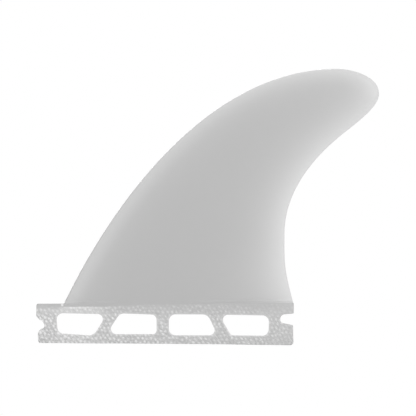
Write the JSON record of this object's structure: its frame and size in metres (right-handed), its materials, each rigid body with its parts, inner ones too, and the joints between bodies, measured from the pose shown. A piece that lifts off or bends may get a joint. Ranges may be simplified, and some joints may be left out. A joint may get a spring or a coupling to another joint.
{
  "type": "surfboard fin",
  "caption": "Surfboard fin with a swept foil blade on a flat windowed mounting tab, notched in front for a set screw and behind for a cross pin.",
  "frame": {"origin": "centre of the tab's bottom face", "axes": "+X back from the leading edge to the trailing edge, +Y across the fin, +Z from the board up to the tip"},
  "size_m": [0.1635, 0.0068, 0.1328],
  "materials": {
    "glass_filled_plastic": "satin, milky grey-white, glass fibres showing in the tab"
  },
  "bodies": {
    "root": {"fin": "glass_filled_plastic"}
  },
  "joints": []
}
